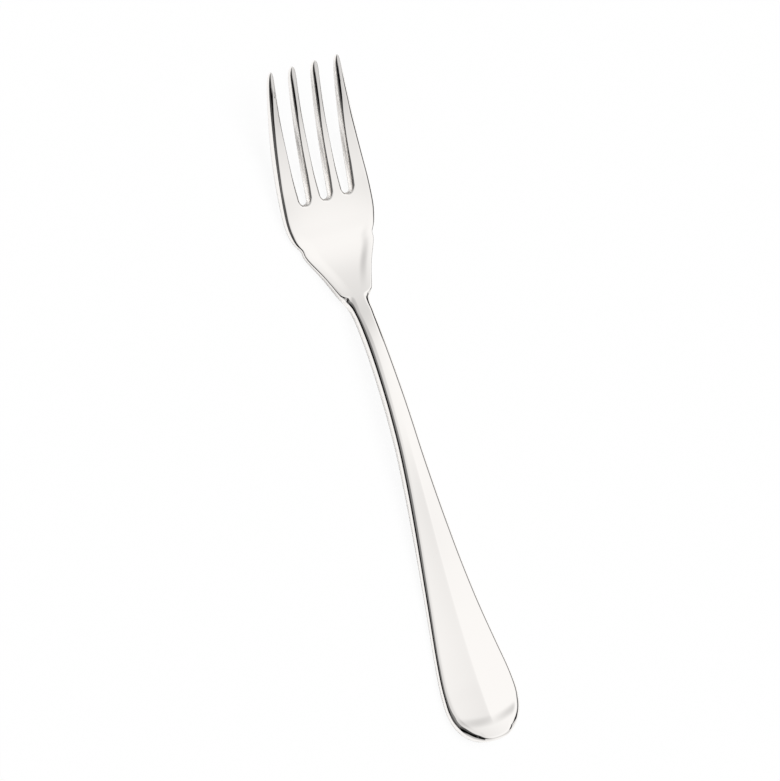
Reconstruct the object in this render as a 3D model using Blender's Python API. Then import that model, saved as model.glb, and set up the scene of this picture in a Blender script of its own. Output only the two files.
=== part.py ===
"""Fish fork in polished stainless steel: four tines, a nicked head, a slim stem and a ridged handle.

The fork lies on a table at Z = 0 with its tines towards +Y and its upper face towards +Z.
Every region is lofted from cross-sections that are cut across the fork at stations measured
from the rounded end of the handle. All regions read the same outline, underside and upper face,
so neighbours always line up, and a hairline seam keeps each region a solid of its own.
"""
import math

import bmesh
import bpy
import numpy as np

# Lengths along the fork in metres, one region after the other, from the handle's end to the tips
END_LENGTH = 0.0122
HANDLE_LENGTH = 0.0785
STEM_LENGTH = 0.0260
NECK_LENGTH = 0.0067
SHOULDER_LENGTH = 0.0147
PALM_LENGTH = 0.0118
TINE_LENGTH = 0.0351

# Full widths of the outline
HANDLE_WIDTH = 0.0218
STEM_WIDTH = 0.0064
NECK_WIDTH = 0.0057
SHOULDER_START_WIDTH = 0.0097
SHOULDER_WIDTH = 0.0214
NICK_WIDTH = 0.0210

# Tines and the slots between them, at the slots' roots and at the tips; their sum is the head's width
SLOT_ROOT_WIDTH = 0.0026
SLOT_TIP_WIDTH = 0.0044
INNER_TINE_ROOT_WIDTH = 0.00385
INNER_TINE_TIP_WIDTH = 0.0024
OUTER_TINE_ROOT_WIDTH = 0.00585
OUTER_TINE_TIP_WIDTH = 0.00195
TINE_POINT_LENGTH = 0.0034
TINE_FOOT_LENGTH = 0.0012

# Thickness of the steel at its edges
END_THICKNESS = 0.0027
HANDLE_THICKNESS = 0.0024
STEM_THICKNESS = 0.0036
NECK_THICKNESS = 0.0037
SHOULDER_THICKNESS = 0.0029
NICK_THICKNESS = 0.0020
HEAD_THICKNESS = 0.0025
TIP_THICKNESS = 0.0018

# Heights of the underside above the table, and the two flat places that the fork lies on
END_RISE = 0.0018
ARCH_HEIGHT = 0.0038
TIP_RISE = 0.0137
HANDLE_REST_INSET = 0.0035
HANDLE_REST_LENGTH = 0.0095
BELLY_REST_LENGTH = 0.0065

# Relief of the upper face: ridge on the handle, crown on the stem, dish in the head
RIDGE_HEIGHT = 0.00060
RIDGE_FADE_LENGTH = 0.0300
RIDGE_END_GAP = 0.0050
STEM_CROWN = 0.00025
HEAD_DISH = 0.00040
UNDERSIDE_ROUND = 0.00025

# Rounding of the edges
HANDLE_EDGE = 0.00090
STEM_EDGE = 0.00130
HEAD_EDGE = 0.00065
TIP_EDGE = 0.00040

# Hairline seam that parts neighbouring regions
SEAM = 0.0003

# Bare proportions of the curves, without units
END_FULLNESS = 2.3
HANDLE_TAPER = ((0.0, 1.0), (0.07, 0.945), (0.15, 0.835), (0.33, 0.570), (0.55, 0.31),
                (0.75, 0.127), (0.88, 0.042), (1.0, 0.0))
ARCH_CLIMB = ((0.0, 0.0), (0.2, 0.09), (0.45, 0.34), (0.7, 0.68), (0.88, 0.92), (1.0, 1.0))
ARCH_DROP = ((0.0, 1.0), (0.2, 0.955), (0.4, 0.845), (0.55, 0.645), (0.68, 0.375), (0.8, 0.205),
             (0.9, 0.1), (1.0, 0.0))
SHOULDER_TAPER = ((0.0, 0.0), (0.25, 0.228), (0.45, 0.433), (0.67, 0.715), (0.78, 0.875),
                  (0.92, 1.0))
NECK_FLARE_POWER = 2.3
PALM_FLARE_POWER = 3.35
TINE_SWEEP_POWER = 1.6
TINE_RISE_POWER = 1.85
END_RISE_POWER = 1.3
TINE_POINT_FULLNESS = 1.7
POINT_BLUNTNESS = 0.2
RIDGE_HOLLOW = 0.4
REST_SHARE = 0.35
EDGE_LIMIT = 0.42

# Fineness of the sections: steps in a corner, places on the upper face, stations in each region
CORNER_STEPS = 2
UPPER_FACE_PLACES = (0.75, 0.5, 0.25, 0.0, -0.25, -0.5, -0.75)
ROUND_STATIONS = 11
UPTURN_STATIONS = 3
HANDLE_STATIONS = 15
STEM_STATIONS = 8
NECK_STATIONS = 7
SHOULDER_STATIONS = 6
BELLY_STATIONS = 5
PALM_STATIONS = 10
PALM_CROWDING = 1.6
SLOT_ROOT_STATIONS = 6
BLADE_STATIONS = 10
SMOOTH_DEGREES = 40

# Stations where the regions meet
WIDEST = END_LENGTH
STEM_START = WIDEST + HANDLE_LENGTH
NECK_START = STEM_START + STEM_LENGTH
SHOULDER_START = NECK_START + NECK_LENGTH
NICK = SHOULDER_START + SHOULDER_LENGTH
SLOT_ROOT = NICK + PALM_LENGTH
TIP = SLOT_ROOT + TINE_LENGTH
MIDDLE = TIP / 2
TINE_FOOT = SLOT_ROOT - TINE_FOOT_LENGTH
REST_START = WIDEST + HANDLE_REST_INSET
REST_END = REST_START + HANDLE_REST_LENGTH
BELLY_START = NICK - BELLY_REST_LENGTH

# Places of the outer slots' middle lines and of the head's sides, from the fork's middle plane
SLOT_ROOT_PLACE = SLOT_ROOT_WIDTH + INNER_TINE_ROOT_WIDTH
SLOT_TIP_PLACE = SLOT_TIP_WIDTH + INNER_TINE_TIP_WIDTH
HEAD_SIDE = SLOT_ROOT_PLACE + SLOT_ROOT_WIDTH / 2 + OUTER_TINE_ROOT_WIDTH
TIP_SIDE = SLOT_TIP_PLACE + SLOT_TIP_WIDTH / 2 + OUTER_TINE_TIP_WIDTH

STEEL_COLOUR = (0.80, 0.79, 0.77, 1.0)
STEEL_ROUGHNESS = 0.08


def smooth_curve(points, place):
    """Height of a smooth curve through the points that never overshoots them."""
    xs, ys = np.array(points, dtype=float).T
    steps = np.diff(xs)
    slopes = np.diff(ys) / steps
    tangents = np.zeros(len(xs))
    tangents[0] = slopes[0]
    tangents[-1] = slopes[-1]
    for i in range(1, len(xs) - 1):
        before, after = slopes[i - 1], slopes[i]
        if before * after > 0:
            tangents[i] = 2 * before * after / (before + after)
    i = int(np.clip(np.searchsorted(xs, place) - 1, 0, len(steps) - 1))
    t = min(1.0, max(0.0, (place - xs[i]) / steps[i]))
    value = (2 * t**3 - 3 * t**2 + 1) * ys[i] + (3 * t**2 - 2 * t**3) * ys[i + 1]
    value += (t**3 - 2 * t**2 + t) * steps[i] * tangents[i]
    value += (t**3 - t**2) * steps[i] * tangents[i + 1]
    return float(value)


def share(place, start, end):
    """How far a place lies on the way from start to end, from 0 to 1."""
    return min(1.0, max(0.0, (place - start) / (end - start)))


def ease(place, start, end):
    """Share of the way from start to end, with a soft start and stop."""
    t = share(place, start, end)
    return t * t * (3 - 2 * t)


def round_end(t, fullness):
    """Quarter of a rounded end: 0 at its point, 1 where it runs into the straight side."""
    return (1 - (1 - t) ** fullness) ** (1 / fullness)


def half_width(s):
    """Half the width of the outline at a station, without the slots."""
    if s <= WIDEST:
        bluntness = round_end(share(s, 0, WIDEST), END_FULLNESS)
        return HANDLE_WIDTH / 2 * max(bluntness, POINT_BLUNTNESS)
    if s <= STEM_START:
        part = smooth_curve(HANDLE_TAPER, share(s, WIDEST, STEM_START))
        return (STEM_WIDTH + (HANDLE_WIDTH - STEM_WIDTH) * part) / 2
    if s <= NECK_START:
        part = (1 - share(s, STEM_START, NECK_START)) ** 2
        return (NECK_WIDTH + (STEM_WIDTH - NECK_WIDTH) * part) / 2
    if s <= SHOULDER_START:
        part = share(s, NECK_START, SHOULDER_START) ** NECK_FLARE_POWER
        return (NECK_WIDTH + (SHOULDER_START_WIDTH - NECK_WIDTH) * part) / 2
    if s <= NICK:
        along = share(s, SHOULDER_START, NICK)
        ear = SHOULDER_TAPER[-1][0]
        if along > ear:
            return (SHOULDER_WIDTH + (NICK_WIDTH - SHOULDER_WIDTH) * share(along, ear, 1.0)) / 2
        part = smooth_curve(SHOULDER_TAPER, along)
        return (SHOULDER_START_WIDTH + (SHOULDER_WIDTH - SHOULDER_START_WIDTH) * part) / 2
    if s <= SLOT_ROOT:
        part = (1 - share(s, NICK, SLOT_ROOT)) ** PALM_FLARE_POWER
        return HEAD_SIDE + (NICK_WIDTH / 2 - HEAD_SIDE) * part
    part = share(s, SLOT_ROOT, TIP) ** TINE_SWEEP_POWER
    return HEAD_SIDE + (TIP_SIDE - HEAD_SIDE) * part


def underside(s):
    """Height of the underside's middle above the table at a station."""
    if s <= REST_START:
        return END_RISE * (1 - share(s, 0, REST_START)) ** END_RISE_POWER
    if s <= STEM_START:
        return ARCH_HEIGHT * smooth_curve(ARCH_CLIMB, share(s, REST_END, STEM_START))
    if s <= NICK:
        return ARCH_HEIGHT * smooth_curve(ARCH_DROP, share(s, STEM_START, BELLY_START))
    return TIP_RISE * share(s, NICK, TIP) ** TINE_RISE_POWER


def thickness(s):
    """Thickness of the steel at its edge at a station."""
    places = ((0.0, END_THICKNESS), (WIDEST, HANDLE_THICKNESS), (STEM_START, STEM_THICKNESS),
              (NECK_START, NECK_THICKNESS), (SHOULDER_START, SHOULDER_THICKNESS),
              (NICK, NICK_THICKNESS), (SLOT_ROOT, HEAD_THICKNESS), (TIP, TIP_THICKNESS))
    return smooth_curve(places, s)


def edge_round(s):
    """Radius of the rounded edges at a station, limited by the steel's thickness."""
    places = ((0.0, HANDLE_EDGE), (REST_END, HANDLE_EDGE), (STEM_START, STEM_EDGE),
              (NECK_START, STEM_EDGE), (NICK, HEAD_EDGE), (SLOT_ROOT, HEAD_EDGE), (TIP, TIP_EDGE))
    return min(smooth_curve(places, s), EDGE_LIMIT * thickness(s))


def upper_relief(x, s):
    """Ridge, crown or dish of the upper face, as a height over the level of its edges."""
    across = min(1.0, abs(x) / half_width(s))
    down = 1 - across
    ridge = RIDGE_HEIGHT * (1 - ease(s, STEM_START - RIDGE_FADE_LENGTH, STEM_START))
    ridge *= ease(s, RIDGE_END_GAP, WIDEST)
    ridge *= (1 - RIDGE_HOLLOW) * down + RIDGE_HOLLOW * down**2
    crown = STEM_CROWN * ease(s, STEM_START - RIDGE_FADE_LENGTH, STEM_START)
    crown *= 1 - ease(s, NECK_START, SHOULDER_START)
    dish = HEAD_DISH * ease(s, NECK_START, NICK) * (1 - ease(s, SLOT_ROOT, TIP))
    return ridge + (crown - dish) * (1 - across**2)


def lower_relief(x, s):
    """Soft rounding of the underside: flat in the middle, rising towards the edges."""
    across = min(1.0, abs(x) / half_width(s))
    outside = max(0.0, across - REST_SHARE) / (1 - REST_SHARE)
    return UNDERSIDE_ROUND * outside**2


def slot_half_width(s):
    """Half the opening of a slot at a station, with its round root."""
    radius = SLOT_ROOT_WIDTH / 2
    depth = s - SLOT_ROOT
    if depth <= 0:
        return SEAM / 2
    if depth < radius:
        return max(SEAM / 2, math.sqrt(radius**2 - (radius - depth) ** 2))
    along = share(s, SLOT_ROOT + radius, TIP)
    return radius + (SLOT_TIP_WIDTH / 2 - radius) * along


def slot_centre(s):
    """Distance of an outer slot's middle line from the fork's middle plane."""
    return SLOT_ROOT_PLACE + (SLOT_TIP_PLACE - SLOT_ROOT_PLACE) * share(s, SLOT_ROOT, TIP)


def tip_blunting(s):
    """Narrowing of a tine towards its rounded point."""
    part = round_end(1 - share(s, TIP - TINE_POINT_LENGTH, TIP), TINE_POINT_FULLNESS)
    return max(part, POINT_BLUNTNESS)


def end_blunting(s):
    """Thinning of the steel where the rounded edge turns over the handle's end or a tine's tip."""
    radius = edge_round(s)
    inside = min(1.0, s / radius, (TIP - s) / radius)
    height = thickness(s)
    return 1 - 2 * radius * (1 - math.sqrt(1 - (1 - inside) ** 2)) / height


def corner(x, z, radius_x, radius_z, start_degrees):
    """Points of one rounded corner, a quarter turn anticlockwise from the start angle."""
    angles = np.radians(start_degrees + np.linspace(0, 90, CORNER_STEPS + 1))
    return [(x + radius_x * math.cos(a), z + radius_z * math.sin(a)) for a in angles]


def section(s, left, right, left_share, right_share):
    """Closed cross-section between two sides, anticlockwise seen from the handle's end.

    The shares scale the rounding of the left and right edges, for sides that lie at a seam.
    """
    width = right - left
    blunting = end_blunting(s)
    radius = edge_round(s)
    lift = thickness(s) * (1 - blunting) / 2
    round_left = min(radius * left_share, EDGE_LIMIT * width)
    round_right = min(radius * right_share, EDGE_LIMIT * width)
    height = radius * blunting

    def bottom(x):
        return underside(s) + lower_relief(x, s) + lift

    def top(x):
        return underside(s) + thickness(s) + upper_relief(x, s) - lift

    inner_left = left + round_left
    inner_right = right - round_right
    inner_middle = (inner_left + inner_right) / 2
    inner_half = (inner_right - inner_left) / 2
    points = corner(inner_left, bottom(inner_left) + height, round_left, height, 180)
    for place in (-REST_SHARE, 0.0, REST_SHARE):
        x = inner_middle + place * inner_half
        points.append((x, bottom(x)))
    points += corner(inner_right, bottom(inner_right) + height, round_right, height, 270)
    points += corner(inner_right, top(inner_right) - height, round_right, height, 0)
    for place in UPPER_FACE_PLACES:
        x = inner_middle + place * inner_half
        points.append((x, top(x)))
    points += corner(inner_left, top(inner_left) - height, round_left, height, 90)
    return points


def body_section(s):
    """Cross-section of the handle, stem, shoulder or palm, symmetric about the middle plane."""
    half = half_width(s)
    return section(s, -half, half, 1.0, 1.0)


def tine_sides(s, side, outer):
    """Left and right limits of one tine and the rounding shares of those two edges."""
    opening = slot_half_width(s)
    slot_round = min(1.0, opening / (SLOT_ROOT_WIDTH / 2)) if s > SLOT_ROOT else 0.0
    if outer:
        inner_edge, outer_edge = slot_centre(s) + opening, half_width(s)
        shares = (slot_round, 1.0)
    else:
        inner_edge, outer_edge = opening, slot_centre(s) - opening
        shares = (slot_round, slot_round)
    middle = (inner_edge + outer_edge) / 2
    half = (outer_edge - inner_edge) / 2 * tip_blunting(s)
    if side > 0:
        return middle - half, middle + half, shares[0], shares[1]
    return -middle - half, -middle + half, shares[1], shares[0]


def polished_steel(name):
    """Mirror-polished stainless steel for one region."""
    material = bpy.data.materials.new(name + "_steel")
    material.use_nodes = True
    shader = material.node_tree.nodes["Principled BSDF"]
    shader.inputs["Base Color"].default_value = STEEL_COLOUR
    shader.inputs["Metallic"].default_value = 1.0
    shader.inputs["Roughness"].default_value = STEEL_ROUGHNESS
    material.diffuse_color = STEEL_COLOUR
    return material


def loft(name, parent, stations, make_section):
    """Solid through the cross-sections at the stations, closed by a flat face at both ends."""
    start = stations[0]
    mesh = bmesh.new()
    rings = []
    for s in stations:
        rings.append([mesh.verts.new((x, s - start, z)) for x, z in make_section(s)])
    count = len(rings[0])
    for ring, following in zip(rings, rings[1:]):
        for i in range(count):
            j = (i + 1) % count
            mesh.faces.new((ring[i], ring[j], following[j], following[i]))
    mesh.faces.new(rings[0][::-1])
    mesh.faces.new(rings[-1])
    bmesh.ops.recalc_face_normals(mesh, faces=mesh.faces)
    bmesh.ops.triangulate(mesh, faces=mesh.faces)
    data = bpy.data.meshes.new(name)
    mesh.to_mesh(data)
    mesh.free()
    data.shade_smooth()
    data.set_sharp_from_angle(angle=math.radians(SMOOTH_DEGREES))
    data.materials.append(polished_steel(name))
    region = bpy.data.objects.new(name, data)
    region.location = (0.0, start - MIDDLE, 0.0)
    region.parent = parent
    bpy.context.collection.objects.link(region)
    return region


def spaced(start, end, count):
    """Stations at even steps between two seams."""
    return list(np.linspace(start + SEAM / 2, end - SEAM / 2, count))


def make_handle_end(fork):
    """Rounded, upturned end of the handle, with its stations crowded towards the point."""
    turns = np.linspace(0, math.pi / 2, ROUND_STATIONS)
    stations = (WIDEST - SEAM / 2) * (1 - np.cos(turns))
    loft("handle_end", fork, list(stations), body_section)


def make_handle(fork):
    """Tapering handle with its ridge; the flat rest on its underside has stations at both limits."""
    upturn = spaced(WIDEST, REST_START + SEAM / 2, UPTURN_STATIONS)
    taper = spaced(REST_END - SEAM / 2, STEM_START, HANDLE_STATIONS)
    loft("handle", fork, upturn + taper, body_section)


def make_stem(fork):
    """Slim stem and the neck that flares from it."""
    stations = spaced(STEM_START, NECK_START + SEAM / 2, STEM_STATIONS)[:-1]
    stations += spaced(NECK_START - SEAM / 2, SHOULDER_START, NECK_STATIONS)
    loft("stem", fork, stations, body_section)


def make_shoulder(fork):
    """Tapering shoulder, with the flat belly rest and the ear beside the nick."""
    ear = SHOULDER_START + SHOULDER_TAPER[-1][0] * SHOULDER_LENGTH
    stations = spaced(SHOULDER_START, BELLY_START + SEAM / 2, SHOULDER_STATIONS)[:-1]
    stations += spaced(BELLY_START - SEAM / 2, ear + SEAM / 2, BELLY_STATIONS) + [NICK - SEAM / 2]
    loft("shoulder", fork, stations, body_section)


def make_palm(fork):
    """Plate between the nicks and the feet of the tines."""
    along = np.linspace(0, 1, PALM_STATIONS) ** PALM_CROWDING
    start = NICK + SEAM / 2
    stations = start + (TINE_FOOT - SEAM / 2 - start) * along
    loft("palm", fork, list(stations), body_section)


def make_tine(fork, name, side, outer):
    """One tine: a foot that shares the round slot roots, a swept blade and a rounded point."""
    radius = SLOT_ROOT_WIDTH / 2
    turns = np.linspace(0, math.pi / 2, SLOT_ROOT_STATIONS)
    root = SLOT_ROOT + radius * (1 - np.cos(turns))
    point = TIP - TINE_POINT_LENGTH * np.cos(turns[1:])
    blade = np.linspace(root[-1], TIP - TINE_POINT_LENGTH, BLADE_STATIONS)[1:]
    stations = [TINE_FOOT + SEAM / 2, *root, *blade, *point]

    def tine_section(s):
        return section(s, *tine_sides(s, side, outer))

    loft(name, fork, stations, tine_section)


def build():
    """Make the fork's regions under one empty at the middle of the fork, on the table."""
    for old in list(bpy.data.objects):
        bpy.data.objects.remove(old)
    fork = bpy.data.objects.new("fork", None)
    bpy.context.collection.objects.link(fork)
    make_handle_end(fork)
    make_handle(fork)
    make_stem(fork)
    make_shoulder(fork)
    make_palm(fork)
    for side, side_name in ((-1, "left"), (1, "right")):
        make_tine(fork, "tine_outer_" + side_name, side, True)
        make_tine(fork, "tine_inner_" + side_name, side, False)


build()
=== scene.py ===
"""Looks of the fish fork: one seamless skin of polished steel, lying on a white table in soft light.

The real fork is a single piece of steel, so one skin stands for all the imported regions. Its stations
are measured along the fork in metres from the rounded end of the handle, and x is measured from the
fork's middle plane. Only the right half is worked out, and the left half is its mirror image.
"""
import math

import bmesh
import bpy
import numpy as np
from mathutils import Matrix, Vector


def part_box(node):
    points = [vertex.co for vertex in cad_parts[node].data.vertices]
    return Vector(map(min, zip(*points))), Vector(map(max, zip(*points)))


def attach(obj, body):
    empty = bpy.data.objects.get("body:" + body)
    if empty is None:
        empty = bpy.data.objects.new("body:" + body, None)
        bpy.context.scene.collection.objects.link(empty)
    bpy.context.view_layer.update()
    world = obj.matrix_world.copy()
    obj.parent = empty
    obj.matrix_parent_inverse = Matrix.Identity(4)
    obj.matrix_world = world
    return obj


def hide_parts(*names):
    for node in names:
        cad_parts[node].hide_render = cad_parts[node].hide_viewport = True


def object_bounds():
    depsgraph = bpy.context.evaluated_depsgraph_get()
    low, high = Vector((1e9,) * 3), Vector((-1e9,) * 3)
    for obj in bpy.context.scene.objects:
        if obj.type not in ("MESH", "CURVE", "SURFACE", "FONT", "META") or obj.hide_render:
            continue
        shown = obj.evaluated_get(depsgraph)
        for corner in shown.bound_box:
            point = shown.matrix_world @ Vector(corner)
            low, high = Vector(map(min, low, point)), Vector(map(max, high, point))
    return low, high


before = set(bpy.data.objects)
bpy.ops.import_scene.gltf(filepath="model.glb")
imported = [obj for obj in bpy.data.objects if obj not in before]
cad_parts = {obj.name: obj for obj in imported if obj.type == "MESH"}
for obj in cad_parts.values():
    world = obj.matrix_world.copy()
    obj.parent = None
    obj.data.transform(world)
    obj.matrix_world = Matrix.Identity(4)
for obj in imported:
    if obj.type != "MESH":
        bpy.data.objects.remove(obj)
CAD_LOW, CAD_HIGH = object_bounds()


def meeting(before, after):
    """Station in the middle of the seam between two neighbouring regions of the frame."""
    return (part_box(before)[1].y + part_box(after)[0].y) / 2 - CAD_LOW.y


# Stations where the regions of the frame meet
WIDEST = meeting("handle_end", "handle")
STEM_START = meeting("handle", "stem")
SHOULDER_START = meeting("stem", "shoulder")
NICK = meeting("shoulder", "palm")
TINE_FOOT = meeting("palm", "tine_inner_right")
TIP = CAD_HIGH.y - CAD_LOW.y

# Other stations and lengths along the fork
NECK_START = SHOULDER_START - 0.0067
SLOT_ROOT = TINE_FOOT + 0.0012
FOOT_ROW = SLOT_ROOT - 0.0014
REST_START = WIDEST + 0.0035
REST_END = REST_START + 0.0095
BELLY_START = NICK - 0.0065
POINT_LENGTH = 0.0034
POINT_START = TIP - POINT_LENGTH
NICK_BEFORE = (NICK - 0.004, NICK - 0.002)
NICK_AFTER = (NICK + 0.002, NICK + 0.005)
CURL_END = SLOT_ROOT + 0.004
CROWN_END_START = 0.1047
DISH_START = (SHOULDER_START - 0.001, SHOULDER_START + 0.010)
DISH_END = (NICK - 0.002, NICK + 0.006)

# Half widths of the outline
HANDLE_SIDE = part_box("handle_end")[1].x
HEAD_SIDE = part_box("tine_outer_right")[1].x
STEM_SIDE = 0.0032
NECK_SIDE = 0.00285
SHOULDER_START_SIDE = 0.00485
EAR_SIDE = 0.01070
NICK_SIDE = 0.01060
TIP_SIDE = 0.01095

# Slots between the tines
SLOT_ROOT_RADIUS = 0.00128
SLOT_HALF = ((SLOT_ROOT + SLOT_ROOT_RADIUS, SLOT_ROOT_RADIUS), (SLOT_ROOT + 0.0042, 0.00144),
             (SLOT_ROOT + 0.0095, 0.00163), (SLOT_ROOT + 0.0148, 0.00177), (SLOT_ROOT + 0.0214, 0.00190),
             (TIP, 0.0022))
SLOT_ROOT_PLACE = 0.00645
SLOT_TIP_PLACE = 0.0068

# Proportions of the outline and of the arch, as shares of their stretch
END_FULLNESS = 2.3
POINT_FULLNESS = 1.9
HANDLE_TAPER = ((0.0, 1.0), (0.07, 0.945), (0.15, 0.835), (0.33, 0.570), (0.55, 0.31),
                (0.75, 0.127), (0.88, 0.042), (1.0, 0.0))
SHOULDER_TAPER = ((0.0, 0.0), (0.25, 0.228), (0.45, 0.433), (0.67, 0.715), (0.78, 0.875), (0.92, 1.0))
EAR = SHOULDER_TAPER[-1][0]
ARCH_CLIMB = ((0.0, 0.0), (0.2, 0.09), (0.45, 0.34), (0.7, 0.68), (0.88, 0.92), (1.0, 1.0))
ARCH_DROP = ((0.0, 1.0), (0.2, 0.955), (0.4, 0.845), (0.55, 0.645), (0.68, 0.375), (0.8, 0.205),
             (0.9, 0.1), (1.0, 0.0))
NECK_FLARE_POWER = 2.3
PALM_FLARE_POWER = 3.35
TINE_SWEEP_POWER = 1.6
TINE_RISE_POWER = 1.85
END_RISE_POWER = 1.3

# Heights of the underside over the table, and of the upper face's edges by station
END_RISE = 0.0018
ARCH_HEIGHT = 0.0038
TIP_RISE = 0.0130
UPPER_LEVEL = ((0.0, 0.00432), (0.0040, 0.00364), (0.0070, 0.00330), (0.0122, 0.00288), (0.0168, 0.00257),
               (0.0252, 0.00236), (0.0327, 0.00252), (0.0457, 0.00330), (0.0607, 0.00480),
               (0.0757, 0.00633), (0.0867, 0.00720), (0.0937, 0.00742), (0.1007, 0.00728),
               (0.1087, 0.00675), (0.1130, 0.00615), (0.1167, 0.00535), (0.1202, 0.00448), (0.1234, 0.00374),
               (0.1261, 0.00321), (0.1287, 0.00277), (0.1317, 0.00234), (0.1354, 0.00200), (0.1387, 0.00193),
               (0.1417, 0.00220), (0.1460, 0.00280), (0.1491, 0.00334), (0.1539, 0.00437),
               (0.1592, 0.00560), (0.1657, 0.00735), (0.1707, 0.00890), (0.1777, 0.01150), (0.1850, 0.01447))
HEAD_CURL = 0.00065

# Relief of the upper face
RIDGE_HEIGHT = 0.00060
RIDGE_HOLLOW = 0.4
RIDGE_FADE_LENGTH = 0.030
CREST_SOFTNESS = 0.00025
RIDGE_FRONT = (0.0040, 0.0070)
RIDGE_FRONT_BOW = 22.0
LIP_HEIGHT = 0.00030
LIP_CROWN = 0.00050
STEM_CROWN = 0.00008
DISH_DEPTH = 0.00017
DISH_WALL = (0.0014, 0.0041)
UNDERSIDE_ROUND = 0.00025
REST_SHARE = 0.35

# Rounding of the edges by station: reach across the face, and drop or lift as a height. EDGE is the upper
# edge of the outline, SLOT that of the slots, LOWER the lower edge of both. LEAN is how far a wall leans in.
EDGE_REACH = ((0.0, 0.0012), (0.0005, 0.0016), (0.0013, 0.0025), (0.0040, 0.0025), (0.0065, 0.0023),
              (0.0104, 0.0017), (0.0168, 0.0013), (STEM_START, 0.0016), (0.1097, 0.0018), (0.1150, 0.0016),
              (0.1180, 0.0015), (0.1200, 0.0019), (0.1218, 0.0024), (0.1230, 0.0013), (0.1242, 0.0007),
              (0.1297, 0.0005), (NICK, 0.0005), (NICK + 0.004, 0.0010), (SLOT_ROOT, 0.0012),
              (0.1590, 0.0012), (0.1720, 0.0012), (0.1787, 0.0015), (POINT_START, 0.0010), (TIP, 0.0002))
EDGE_DROP = ((0.0, 0.0011), (0.0005, 0.0015), (0.0013, 0.0022), (0.0040, 0.0024), (0.0065, 0.0023),
             (0.0104, 0.0017), (0.0168, 0.0013), (STEM_START, 0.0016), (0.1097, 0.0018), (0.1180, 0.0016),
             (0.1200, 0.0019), (0.1218, 0.0021), (0.1230, 0.0013), (0.1242, 0.0007), (0.1297, 0.0005),
             (NICK, 0.0005), (SLOT_ROOT, 0.0009), (0.1707, 0.0010), (POINT_START, 0.0009), (TIP, 0.0005))
SLOT_REACH = ((0.0, 0.0008), (SLOT_ROOT, 0.0008), (0.1566, 0.00070), (0.1592, 0.00055), (0.1645, 0.00042),
              (0.1697, 0.00055), (0.1751, 0.0009), (POINT_START, 0.0008), (TIP, 0.0002))
LOWER_REACH = ((0.0, 0.0007), (STEM_START, 0.0009), (NECK_START, 0.0009), (NICK, 0.0005),
               (SLOT_ROOT, 0.0004), (POINT_START, 0.0003), (TIP, 0.0002))
LOWER_LIFT = ((0.0, 0.0004), (0.0065, 0.0004), (0.0168, 0.0007), (STEM_START, 0.0009), (NECK_START, 0.0009),
              (0.1212, 0.0005), (NICK, 0.0006), (SLOT_ROOT, 0.0008), (0.1707, 0.0006),
              (POINT_START, 0.0004), (TIP, 0.0002))
LEAN = ((0.0, 0.0), (0.1180, 0.0), (0.1212, 0.00025), (0.1240, 0.0), (NICK + 0.0005, 0.0),
        (NICK + 0.0045, 0.0002), (SLOT_ROOT, 0.00024), (0.1590, 0.00038), (0.1685, 0.00041),
        (0.1737, 0.00033), (POINT_START, 0.00022), (TIP, 0.0))
UPRIGHT = ((0.0, 0.0), (TIP, 0.0))

# Softness of the outline and of the upper face's level: widths of a bell curve, and its reach in widths
OUTLINE_SOFTNESS = 0.0011
NICK_SOFTNESS = 0.00040
LEVEL_SOFTNESS = 0.0012
BELL_REACH = 4

# Fineness of the skin
GRAIN = 0.0001
END_ROWS = 44
ROW_STEP = 0.0006
HEAD_ROW_STEP = 0.0003
ROOT_ROWS = 14
BLADE_ROWS = 60
POINT_ROWS = 18
TINE_COLUMNS = 12
UPPER_EDGE_STEPS = 14
LOWER_EDGE_STEPS = 6
HANDLE_CROWDING = 1.35
WELD = 1e-7
QUARTER_TURN = math.pi / 2
STATIONS = np.arange(0.0, TIP + GRAIN / 2, GRAIN)

# Steel of the skin
STEEL_TONE = (0.955, 0.93, 0.905, 1.0)
STEEL_ROUGHNESS = 0.06

# White table, and the soft light on it
WHITE = (1.0, 1.0, 1.0, 1.0)
FLOOR_REACH = 20.0
FLOOR_HEIGHT = -0.00002
FLOOR_GLOW = 0.94
FLOOR_GLOW_IN_METAL = 0.1
CEILING_LIGHT = 2.5
CEILING_SPREAD = math.radians(50)
CEILING_TILT = math.radians(16)
ROOM_LIGHT = 0.2

# Dark flags of the room that the metal mirrors, by direction from the fork: X to its right, Y ahead past its
# tips, Z up. A disc has its middle, the cosines from there where it starts and is full, and its brightness.
LEFT_DISC = ((-0.807, -0.565, 0.174), 0.545, 0.615, 0.015)
LEFT_AHEAD_DISC = ((-0.947, 0.2, 0.25), 0.74, 0.80, 0.015)
BEHIND_DISC = ((-0.35, -0.75, 0.56), 0.80, 0.85, 0.015)
RIGHT_DISC = ((0.9992, 0.04, 0.0), 0.87, 0.93, 0.16)
WING_DISC = ((0.9976, -0.07, 0.0), 0.74, 0.80, 0.02)
AHEAD_DISC = ((0.25, 0.96, 0.12), 0.74, 0.80, 0.03)

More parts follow.
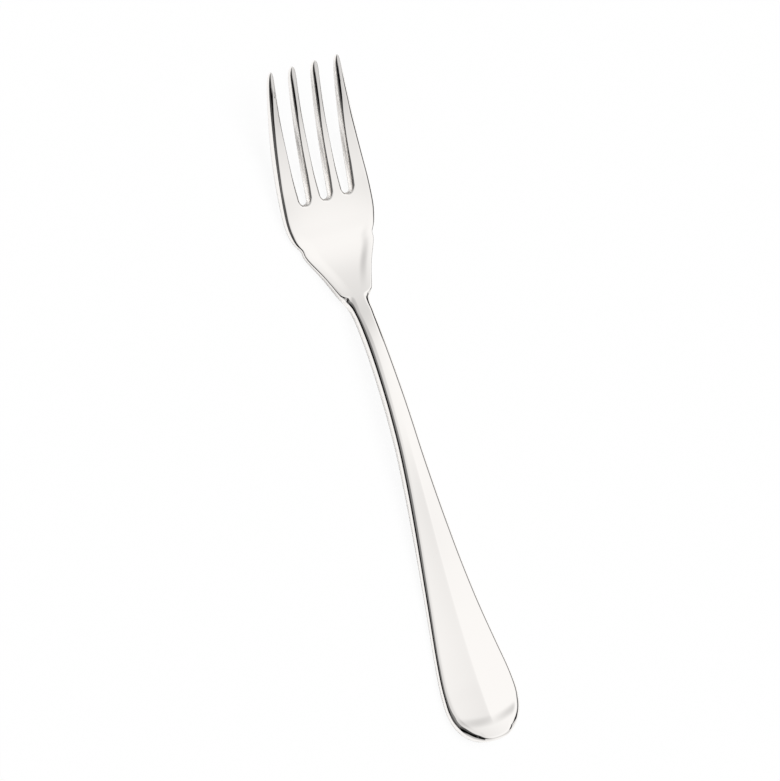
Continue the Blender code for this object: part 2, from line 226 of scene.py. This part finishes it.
# Where the flags let light through: two places along X, Y or Z, and the brightness at each
LEFT_TOP_Z = (0.34, 0.68, 0.0, 0.32)
LEFT_AHEAD_Y = (0.40, 0.58, 0.0, 0.6)
GAP_X = (-0.27, -0.15, 0.0, 1.0)
GAP_Y = (-0.70, -0.60, 1.0, 0.0)
WINDOW_Y = (-0.74, -0.62, 0.75, 0.0)
WINDOW_Z = (0.38, 0.50, 1.0, 0.0)
GREY_START_Y = (-0.50, -0.44, 0.0, 0.11)
GREY_END_Y = (-0.22, -0.06, 1.0, 0.0)
RIGHT_BEHIND_Y = (-0.36, -0.22, 1.0, 0.0)
WING_GAP_Y = (0.15, 0.23, 1.0, 0.0)
WING_BEHIND_Y = (-0.40, -0.33, 1.0, 0.0)
WING_TOP_Z = (0.48, 0.58, 0.0, 1.0)
AHEAD_TOP_Z = (0.26, 0.36, 0.0, 1.0)

# Brightness of the rest of the room: fades along X, slanted lines past which it dims, and the least one
RIGHT_TONE_X = (0.05, 0.50, 0.85, 1.015)
LEFT_TONE_X = (-0.6, 0.2, 0.9, 1.0)
AHEAD_LEAST_X = 0.25
AHEAD_SLANT = -1.0
AHEAD_OFFSET = 0.432
AHEAD_DIMMING = -1.3
BEHIND_SLANT = -0.3
BEHIND_OFFSET = 0.25
BEHIND_DIMMING = -1.6
LEAST_TONE_Y = (-0.85, -0.6, 1.0, 0.68)

# Camera at the photograph's viewing angle
VIEW_TILT = math.radians(25.73)
VIEW_ROLL = math.radians(17.45)
VIEW_DISTANCE = 1.25
VIEW_HEIGHT = 0.005
VIEW_SHIFT = (-0.001225, 0.003703)
LENS_MM = 218.75
SENSOR_MM = 36.0
NEAREST_SEEN = 0.05


def share(place, start, end):
    """How far each place lies on the way from start to end, from 0 to 1."""
    return np.clip((place - start) / (end - start), 0.0, 1.0)


def ease(place, start, end):
    """Share of the way from start to end with a soft start and stop: 3t^2 - 2t^3."""
    t = share(place, start, end)
    return t * t * (3 - 2 * t)


def round_end(t, fullness):
    """Quarter of a rounded end: the p-th root of 1 - (1 - t)^p."""
    return (1 - (1 - t) ** fullness) ** (1 / fullness)


def through(points, places):
    """Smooth curve through points: cubic pieces, with the harmonic mean of both slopes at each point."""
    xs, ys = np.array(points, dtype=float).T
    steps = np.diff(xs)
    slopes = np.diff(ys) / steps
    product = slopes[:-1] * slopes[1:]
    total = slopes[:-1] + slopes[1:]
    inner = np.where(product > 0, 2 * product / np.where(product > 0, total, 1.0), 0.0)
    tangents = np.concatenate([slopes[:1], inner, slopes[-1:]])
    i = np.clip(np.searchsorted(xs, places) - 1, 0, len(steps) - 1)
    t = np.clip((places - xs[i]) / steps[i], 0.0, 1.0)
    level = (2 * t**3 - 3 * t**2 + 1) * ys[i] + (3 * t**2 - 2 * t**3) * ys[i + 1]
    level += (t**3 - 2 * t**2 + t) * steps[i] * tangents[i]
    return level + (t**3 - t**2) * steps[i] * tangents[i + 1]


def softened(values, width):
    """Values at even grains, averaged with a bell curve of that width so that no kink is left."""
    reach = int(BELL_REACH * width / GRAIN)
    bell = np.exp(-0.5 * (np.arange(-reach, reach + 1) * GRAIN / width) ** 2)
    padded = np.pad(values, reach, mode="reflect", reflect_type="odd")
    return np.convolve(padded, bell / bell.sum(), mode="valid")


def plain_side(s):
    """Half width of the outline by station, without the rounded end and the slots."""
    handle = STEM_SIDE + (HANDLE_SIDE - STEM_SIDE) * through(HANDLE_TAPER, share(s, WIDEST, STEM_START))
    stem = NECK_SIDE + (STEM_SIDE - NECK_SIDE) * (1 - share(s, STEM_START, NECK_START)) ** 2
    neck = share(s, NECK_START, SHOULDER_START) ** NECK_FLARE_POWER
    neck = NECK_SIDE + (SHOULDER_START_SIDE - NECK_SIDE) * neck
    along = share(s, SHOULDER_START, NICK)
    shoulder = SHOULDER_START_SIDE + (EAR_SIDE - SHOULDER_START_SIDE) * through(SHOULDER_TAPER, along)
    shoulder += (NICK_SIDE - EAR_SIDE) * share(along, EAR, 1.0)
    palm = (1 - share(s, NICK, SLOT_ROOT)) ** PALM_FLARE_POWER
    palm = HEAD_SIDE + (NICK_SIDE - HEAD_SIDE) * palm
    tines = HEAD_SIDE + (TIP_SIDE - HEAD_SIDE) * share(s, SLOT_ROOT, TIP) ** TINE_SWEEP_POWER
    ends = [s <= STEM_START, s <= NECK_START, s <= SHOULDER_START, s <= NICK, s <= SLOT_ROOT]
    return np.select(ends, [handle, stem, neck, shoulder, palm], tines)


def plain_underside(s):
    """Height of the underside over the table by station: upturned end, arch, belly and rising tines."""
    end = END_RISE * (1 - share(s, 0.0, REST_START)) ** END_RISE_POWER
    climb = ARCH_HEIGHT * through(ARCH_CLIMB, share(s, REST_END, STEM_START))
    drop = ARCH_HEIGHT * through(ARCH_DROP, share(s, STEM_START, BELLY_START))
    rise = TIP_RISE * share(s, NICK, TIP) ** TINE_RISE_POWER
    return np.select([s <= REST_START, s <= STEM_START, s <= NICK], [end, climb, drop], rise)


def dense_side():
    """Outline by grain: softly rounded along the handle, more tightly at the ears and nicks."""
    raw = plain_side(STATIONS)
    near = ease(STATIONS, *NICK_BEFORE) * (1 - ease(STATIONS, *NICK_AFTER))
    return softened(raw, OUTLINE_SOFTNESS) * (1 - near) + softened(raw, NICK_SOFTNESS) * near


SIDE = dense_side()
UNDERSIDE = plain_underside(STATIONS)
LEVEL = softened(through(UPPER_LEVEL, STATIONS), LEVEL_SOFTNESS)


def curl(x, s):
    """Rise of the head towards its sides, with the square of x, fading in along the palm."""
    return HEAD_CURL * ease(s, NICK, CURL_END) * (x / HEAD_SIDE) ** 2


def side(s):
    """Half width of the outline by station, with the handle's rounded end."""
    return np.interp(s, STATIONS, SIDE) * round_end(share(s, 0.0, WIDEST), END_FULLNESS)


def slot_half(s):
    """Half the opening of a slot past its round root."""
    return through(SLOT_HALF, s)


def slot_place(s):
    """Place of an outer slot's middle line."""
    return SLOT_ROOT_PLACE + (SLOT_TIP_PLACE - SLOT_ROOT_PLACE) * share(s, SLOT_ROOT, TIP)


def upper(x, s):
    """Height of the upper face: the level of its edges, plus ridge or lip, crown and curl, less the dish.

    The ridge falls from the middle plane with a line and a square, past a bowed front at the handle's end.
    """
    half = np.interp(s, STATIONS, SIDE)
    off = np.sqrt(x**2 + CREST_SOFTNESS**2) - CREST_SOFTNESS
    down = 1 - np.clip(off / half, 0.0, 1.0)
    across = np.clip(np.abs(x) / half, 0.0, 1.0)
    stem = ease(s, STEM_START - RIDGE_FADE_LENGTH, STEM_START)
    ridge = RIDGE_HEIGHT * (1 - stem) * ((1 - RIDGE_HOLLOW) * down + RIDGE_HOLLOW * down**2)
    front = ease(s - RIDGE_FRONT_BOW * x**2, *RIDGE_FRONT)
    ridge = ridge * front + (LIP_HEIGHT + LIP_CROWN * (1 - across**2)) * (1 - front)
    crown = STEM_CROWN * stem * (1 - ease(s, CROWN_END_START, SHOULDER_START)) * (1 - across**2)
    hollow = ease(s, *DISH_START) * (1 - ease(s, *DISH_END))
    dish = DISH_DEPTH * hollow * ease(half - np.abs(x), *DISH_WALL)
    return np.interp(s, STATIONS, LEVEL) + ridge + crown - dish + curl(x, s)


def lower(x, s):
    """Height of the underside: flat in the middle, rising with the square of the way to the edges."""
    across = np.clip(np.abs(x) / np.interp(s, STATIONS, SIDE), 0.0, 1.0)
    outside = np.clip(across - REST_SHARE, 0.0, None) / (1 - REST_SHARE)
    return np.interp(s, STATIONS, UNDERSIDE) + UNDERSIDE_ROUND * outside**2 + curl(x, s)


def outward(path, right, first, last):
    """Plan normals of a path that runs towards the tips, from its tangents, with the end ones given."""
    dx, ds = np.gradient(path, axis=0).T
    normal = np.stack([ds, -dx], axis=1) if right else np.stack([-ds, dx], axis=1)
    normal /= np.linalg.norm(normal, axis=1, keepdims=True)
    normal[0] = first
    normal[-1] = last
    return normal


def inset(path, normal, reach, lean):
    """Path moved inwards to where a face begins, by the lean of the wall and the reach of its rounding."""
    s = path[:, 1]
    return path - (through(lean, s) + through(reach, s))[:, None] * normal


def rim(path, normal, reach):
    """Rounded edge carried along a path of the outline, from the upper face to the underside.

    It is a quarter ellipse, the wall and a second quarter ellipse. Their heights hang from the two faces,
    so that they meet them without a kink.
    """
    s = path[:, 1]
    drop = through(EDGE_DROP, s)[:, None]
    turn = np.linspace(0.0, QUARTER_TURN, UPPER_EDGE_STEPS + 1)
    in_by = (through(LEAN, s)[:, None] + through(reach, s)[:, None] * (1 - np.sin(turn)))[..., None]
    plan = path[:, None, :] - in_by * normal[:, None, :]
    top = np.dstack([plan, upper(plan[..., 0], plan[..., 1]) - drop * (1 - np.cos(turn))])
    lift = through(LOWER_LIFT, s)[:, None]
    turn = np.linspace(QUARTER_TURN, 0.0, LOWER_EDGE_STEPS + 1)
    in_by = (through(LOWER_REACH, s)[:, None] * (1 - np.sin(turn)))[..., None]
    plan = path[:, None, :] - in_by * normal[:, None, :]
    bottom = np.dstack([plan, lower(plan[..., 0], plan[..., 1]) + lift * (1 - np.cos(turn))])
    return np.concatenate([top, bottom], axis=1)


def outer_rows():
    """Stations of the outer edge's rows up to the slots' roots, crowded at the handle's end and the head."""
    end = WIDEST * (1 - np.cos(np.linspace(0.0, QUARTER_TURN, END_ROWS)))
    handle = np.linspace(WIDEST, NECK_START, int((NECK_START - WIDEST) / ROW_STEP))
    head = np.linspace(NECK_START, FOOT_ROW, int((FOOT_ROW - NECK_START) / HEAD_ROW_STEP))
    return np.concatenate([end, handle[1:], head[1:]])


def tine_rows(start):
    """Stations of a tine's rows past the row at its foot: round slot root, blade and rounded point."""
    turn = np.linspace(0.0, QUARTER_TURN, ROOT_ROWS)
    root_end = SLOT_ROOT + SLOT_ROOT_RADIUS
    root = root_end - (root_end - start) * np.cos(turn)
    blade = np.linspace(root_end, POINT_START, BLADE_ROWS)
    point = TIP - POINT_LENGTH * np.cos(np.linspace(0.0, QUARTER_TURN, POINT_ROWS))
    return np.concatenate([root, blade[1:], point[1:]])


def tine_edges():
    """Paths of a tine pair's edges: outer tine's outer and slot side, inner tine's two slot sides.

    A slot side starts at the root with a quarter circle. A tine narrows to its point about its middle line.
    """
    outer_s = tine_rows(FOOT_ROW)
    slot_s = tine_rows(SLOT_ROOT)
    point = round_end(1 - share(slot_s, POINT_START, TIP), POINT_FULLNESS)
    turn = np.linspace(0.0, QUARTER_TURN, ROOT_ROWS)
    opening = slot_half(slot_s)
    opening[:ROOT_ROWS] = SLOT_ROOT_RADIUS * np.sin(turn)
    outer_side = np.interp(outer_s, STATIONS, SIDE)
    paths = []
    for far, near in ((outer_side, slot_place(slot_s) + opening), (slot_place(slot_s) - opening, opening)):
        middle = (far + near) / 2
        paths.append(np.stack([middle + (far - middle) * point, slot_s], axis=1))
        paths.append(np.stack([middle + (near - middle) * point, slot_s], axis=1))
    paths[0][:, 1] = outer_s
    return paths


def face_rows(inner, crowding, place):
    """Rows of a face from the middle plane to its inner edge: x is the edge's x times v to a power.

    The last row bends from the edge's station to the given place at the slot's root, and stays there.
    """
    v = np.linspace(0.0, 1.0, 2 * TINE_COLUMNS + 1)
    x = inner[:, :1] * v ** crowding[:, None]
    s = np.repeat(inner[:, 1:], len(v), axis=1)
    s[-1] = place + (s[-1] - place) * np.clip(2 * v - 1, 0.0, 1.0)
    return np.stack([x, s], axis=-1)


def blade_rows(near, far, foot):
    """Rows of a tine's face between its two inner edges, the first of them the row at its foot."""
    v = np.linspace(0.0, 1.0, TINE_COLUMNS + 1)[:, None]
    rows = near[:, None, :] + (far - near)[:, None, :] * v
    rows[0] = foot
    return rows


def raised(plan, height):
    """Plan points lifted to the height of a face."""
    return np.dstack([plan, height(plan[..., 0], plan[..., 1])])


class Skin:
    """Patches of the skin, kept as grids of points and turned into one closed mesh."""

    def __init__(self):
        self.points = []
        self.faces = []
        self.count = 0

    def add(self, grid, turned):
        """One grid of points, with its quads facing outwards."""
        rows, columns = grid.shape[:2]
        corner = self.count + np.arange(rows - 1)[:, None] * columns + np.arange(columns - 1)
        quads = np.stack([corner, corner + 1, corner + 1 + columns, corner + columns], axis=-1)
        quads = quads.reshape(-1, 4)
        self.points.append(grid.reshape(-1, 3))
        self.faces.append(quads[:, ::-1] if turned else quads)
        self.count += rows * columns

    def mesh(self, name):
        """Both halves in one mesh, welded where the patches meet."""
        half = np.concatenate(self.points)
        quads = np.concatenate(self.faces)
        points = np.concatenate([half, half * (-1, 1, 1)]) + (0.0, CAD_LOW.y, 0.0)
        faces = np.concatenate([quads, quads[:, ::-1] + len(half)])
        data = bpy.data.meshes.new(name)
        data.from_pydata(points.tolist(), [], faces.tolist())
        work = bmesh.new()
        work.from_mesh(data)
        bmesh.ops.remove_doubles(work, verts=work.verts, dist=WELD)
        bmesh.ops.dissolve_degenerate(work, edges=work.edges, dist=WELD)
        work.to_mesh(data)
        work.free()
        data.shade_smooth()
        return data


def fork_skin():
    """The whole fork as one closed skin, patch by patch."""
    skin = Skin()
    body_s = outer_rows()
    body = np.stack([side(body_s), body_s], axis=1)
    tine_outer, tine_near, inner_far, inner_near = tine_edges()
    edge = np.concatenate([body, tine_outer[1:]])
    edge_normal = outward(edge, True, (0, -1), (0, 1))
    slots = [(tine_near, False), (inner_far, True), (inner_near, False)]
    slots = [(path, outward(path, right, (0, 1), (0, 1)), right) for path, right in slots]
    skin.add(rim(edge, edge_normal, EDGE_REACH), False)
    for path, normal, right in slots:
        skin.add(rim(path, normal, SLOT_REACH), not right)
    last = len(body) - 1
    settle = ease(body_s, NECK_START, body_s[-1])
    for height, outer_reach, slot_reach, lean, turned in (
            (upper, EDGE_REACH, SLOT_REACH, LEAN, False), (lower, LOWER_REACH, LOWER_REACH, UPRIGHT, True)):
        edge_in = inset(edge, edge_normal, outer_reach, lean)
        near_in, far_in, middle_in = (inset(path, normal, slot_reach, lean) for path, normal, right in slots)
        # The power that puts the middle column of the last row at the slot's root
        end_power = math.log(SLOT_ROOT_PLACE / edge_in[last, 0]) / math.log(0.5)
        crowding = HANDLE_CROWDING + (end_power - HANDLE_CROWDING) * settle
        body_plan = face_rows(edge_in[:last + 1], crowding, near_in[0, 1])
        foot = body_plan[-1]
        skin.add(raised(body_plan, height), turned)
        skin.add(raised(blade_rows(near_in, edge_in[last:], foot[TINE_COLUMNS:]), height), turned)
        skin.add(raised(blade_rows(middle_in, far_in, foot[:TINE_COLUMNS + 1]), height), turned)
    return skin.mesh("fork_skin")


def polished_steel():
    """Mirror-polished steel with a faint warm tone."""
    material = bpy.data.materials.new("polished_steel")
    material.use_nodes = True
    shader = material.node_tree.nodes["Principled BSDF"]
    shader.inputs["Base Color"].default_value = STEEL_TONE
    shader.inputs["Metallic"].default_value = 1.0
    shader.inputs["Roughness"].default_value = STEEL_ROUGHNESS
    return material


def make_fork():
    """The skin as the one visible piece, standing for every region of the frame."""
    fork = bpy.data.objects.new("fork", fork_skin())
    bpy.context.scene.collection.objects.link(fork)
    fork.data.materials.append(polished_steel())
    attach(fork, "root")
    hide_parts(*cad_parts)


def math_node(tree, operation, *inputs):
    """Output of a new math node. Each input is a socket or a number."""
    node = tree.nodes.new("ShaderNodeMath")
    node.operation = operation
    for slot, value in zip(node.inputs, inputs):
        if isinstance(value, float):
            slot.default_value = value
        else:
            tree.links.new(value, slot)
    return node.outputs[0]


def table_white():
    """Plain diffuse white that keeps the shadow, partly lit from itself for the eye and the metal."""
    material = bpy.data.materials.new("table_white")
    material.use_nodes = True
    tree = material.node_tree
    tree.nodes.clear()
    out = tree.nodes.new("ShaderNodeOutputMaterial")
    diffuse = tree.nodes.new("ShaderNodeBsdfDiffuse")
    diffuse.inputs["Color"].default_value = WHITE
    glow = tree.nodes.new("ShaderNodeEmission")
    mix = tree.nodes.new("ShaderNodeMixShader")
    rays = tree.nodes.new("ShaderNodeLightPath").outputs
    direct = math_node(tree, "MAXIMUM", rays["Is Camera Ray"], rays["Is Transmission Ray"])
    mirrored = math_node(tree, "MULTIPLY", rays["Is Glossy Ray"], FLOOR_GLOW_IN_METAL)
    tree.links.new(math_node(tree, "MULTIPLY_ADD", direct, FLOOR_GLOW, mirrored), mix.inputs["Fac"])
    tree.links.new(diffuse.outputs[0], mix.inputs[1])
    tree.links.new(glow.outputs[0], mix.inputs[2])
    tree.links.new(mix.outputs[0], out.inputs["Surface"])
    return material


def white_table():
    """Wide white floor, a hair below the fork's rests so that the faces don't coincide."""
    mesh = bpy.data.meshes.new("table")
    corners = [(-FLOOR_REACH, -FLOOR_REACH, FLOOR_HEIGHT), (FLOOR_REACH, -FLOOR_REACH, FLOOR_HEIGHT),
               (FLOOR_REACH, FLOOR_REACH, FLOOR_HEIGHT), (-FLOOR_REACH, FLOOR_REACH, FLOOR_HEIGHT)]
    mesh.from_pydata(corners, [], [(0, 1, 2, 3)])
    mesh.materials.append(table_white())
    table = bpy.data.objects.new("table", mesh)
    bpy.context.scene.collection.objects.link(table)


class Room:
    """Brightness of the room by direction, put together from shader nodes."""

    def __init__(self, tree):
        self.tree = tree
        self.direction = tree.nodes.new("ShaderNodeTexCoord").outputs["Generated"]
        parts = tree.nodes.new("ShaderNodeSeparateXYZ")
        tree.links.new(self.direction, parts.inputs[0])
        self.x, self.y, self.z = parts.outputs

    def times(self, first, second):
        """Product of two values: of two flags, one that is dark where either is."""
        return math_node(self.tree, "MULTIPLY", first, second)

    def lighter(self, *levels):
        """Lightest of several levels, which lets light through a flag."""
        lightest = levels[0]
        for level in levels[1:]:
            lightest = math_node(self.tree, "MAXIMUM", lightest, level)
        return lightest

    def fade(self, value, low, high, start, end):
        """Soft step of a value: start below low, end above high."""
        node = self.tree.nodes.new("ShaderNodeMapRange")
        node.interpolation_type = "SMOOTHSTEP"
        node.inputs["From Min"].default_value = low
        node.inputs["From Max"].default_value = high
        node.inputs["To Min"].default_value = start
        node.inputs["To Max"].default_value = end
        self.tree.links.new(value, node.inputs["Value"])
        return node.outputs["Result"]

    def disc(self, middle, start, full, level):
        """Dark disc by the cosine of the angle from its middle: 1 outside and its level inside."""
        cosine = self.tree.nodes.new("ShaderNodeVectorMath")
        cosine.operation = "DOT_PRODUCT"
        cosine.inputs[1].default_value = middle
        self.tree.links.new(self.direction, cosine.inputs[0])
        return self.fade(cosine.outputs["Value"], start, full, 1.0, level)

    def past_line(self, x, slant, offset, limit):
        """Square of y + slant x + offset where that is past 0, on the side that the limit keeps."""
        way = math_node(self.tree, "MULTIPLY_ADD", x, slant, self.y)
        way = math_node(self.tree, limit, math_node(self.tree, "ADD", way, offset), 0.0)
        return self.times(way, way)


def left_flag(room):
    """Dark flag at the left and one behind, for the left edge lines, the tips and the wedge at the end.

    The left one is lighter at its top and ahead. A gap, a low window and a grey band let light through both.
    """
    flag = room.times(room.disc(*LEFT_DISC), room.disc(*LEFT_AHEAD_DISC))
    flag = room.lighter(flag, room.fade(room.z, *LEFT_TOP_Z), room.fade(room.y, *LEFT_AHEAD_Y))
    flag = room.times(flag, room.disc(*BEHIND_DISC))
    gap = room.times(room.fade(room.x, *GAP_X), room.fade(room.y, *GAP_Y))
    window = room.times(room.fade(room.y, *WINDOW_Y), room.fade(room.z, *WINDOW_Z))
    grey = room.times(room.fade(room.y, *GREY_START_Y), room.fade(room.y, *GREY_END_Y))
    return room.lighter(flag, gap, window, grey)


def right_flag(room):
    """Grey flag at the right with a dark wing on each side, and a low flag ahead, for the right edge lines.

    The flag and its wings stop some way behind, the wings are parted by a gap, and they stop at a height.
    """
    flag = room.lighter(room.disc(*RIGHT_DISC), room.fade(room.y, *RIGHT_BEHIND_Y))
    from_middle = math_node(room.tree, "ABSOLUTE", room.y)
    wings = room.lighter(room.disc(*WING_DISC), room.fade(from_middle, *WING_GAP_Y),
                         room.fade(room.y, *WING_BEHIND_Y), room.fade(room.z, *WING_TOP_Z))
    ahead = room.lighter(room.disc(*AHEAD_DISC), room.fade(room.z, *AHEAD_TOP_Z))
    return room.times(room.times(flag, wings), ahead)


def room_tone(room):
    """Light of the room: fades along X, dimmed by the squares past the lines ahead and behind."""
    tone = room.times(room.fade(room.x, *RIGHT_TONE_X), room.fade(room.x, *LEFT_TONE_X))
    ahead_x = math_node(room.tree, "MAXIMUM", room.x, AHEAD_LEAST_X)
    ahead = room.past_line(ahead_x, AHEAD_SLANT, AHEAD_OFFSET, "MAXIMUM")
    behind = room.past_line(room.x, BEHIND_SLANT, BEHIND_OFFSET, "MINIMUM")
    dimmed = math_node(room.tree, "MULTIPLY_ADD", ahead, AHEAD_DIMMING, 1.0)
    dimmed = math_node(room.tree, "MULTIPLY_ADD", behind, BEHIND_DIMMING, dimmed)
    return room.times(tone, room.lighter(dimmed, room.fade(room.y, *LEAST_TONE_Y)))


def studio():
    """World that is white to the eye, dim on the table, and a light room with dark flags to the metal."""
    world = bpy.data.worlds.new("studio")
    bpy.context.scene.world = world
    world.cycles.sampling_method = "NONE"
    world.use_nodes = True
    tree = world.node_tree
    tree.nodes.clear()
    room = Room(tree)
    mirrored = room.times(room.times(left_flag(room), right_flag(room)), room_tone(room))
    rays = tree.nodes.new("ShaderNodeLightPath").outputs
    mixed = tree.nodes.new("ShaderNodeMix")
    mixed.data_type = "FLOAT"
    mixed.inputs["A"].default_value = ROOM_LIGHT
    tree.links.new(rays["Is Glossy Ray"], mixed.inputs["Factor"])
    tree.links.new(mirrored, mixed.inputs["B"])
    background = tree.nodes.new("ShaderNodeBackground")
    background.inputs["Color"].default_value = WHITE
    seen = room.lighter(mixed.outputs["Result"], rays["Is Camera Ray"])
    tree.links.new(seen, background.inputs["Strength"])
    out = tree.nodes.new("ShaderNodeOutputWorld")
    tree.links.new(background.outputs[0], out.inputs["Surface"])


def ceiling_light():
    """Wide soft light from above for the shadow on the table. The metal doesn't mirror it."""
    lamp = bpy.data.lights.new("ceiling_light", "SUN")
    lamp.energy = CEILING_LIGHT
    lamp.angle = CEILING_SPREAD
    ceiling = bpy.data.objects.new("ceiling_light", lamp)
    ceiling.rotation_euler = (0.0, CEILING_TILT, 0.0)
    ceiling.visible_glossy = False
    bpy.context.scene.collection.objects.link(ceiling)


def photo_camera():
    """Camera leaning from straight above to the fork's left side, rolled so that the tines point up left."""
    across = Vector((math.cos(VIEW_TILT), 0.0, math.sin(VIEW_TILT)))
    back = Vector((-math.sin(VIEW_TILT), 0.0, math.cos(VIEW_TILT)))
    along = Vector((0.0, 1.0, 0.0))
    right = across * math.cos(VIEW_ROLL) - along * math.sin(VIEW_ROLL)
    up = across * math.sin(VIEW_ROLL) + along * math.cos(VIEW_ROLL)
    lens = bpy.data.cameras.new("photo_camera")
    lens.sensor_width = SENSOR_MM
    lens.sensor_fit = "HORIZONTAL"
    lens.lens = LENS_MM
    lens.clip_start = NEAREST_SEEN
    camera = bpy.data.objects.new("photo_camera", lens)
    bpy.context.scene.collection.objects.link(camera)
    aim = Vector((0.0, 0.0, VIEW_HEIGHT)) + right * VIEW_SHIFT[0] + up * VIEW_SHIFT[1]
    turn = Matrix((right, up, back)).transposed().to_4x4()
    camera.matrix_world = Matrix.Translation(aim + back * VIEW_DISTANCE) @ turn
    bpy.context.scene.camera = camera


make_fork()
white_table()
studio()
ceiling_light()
photo_camera()
bpy.context.scene.view_settings.view_transform = "Standard"
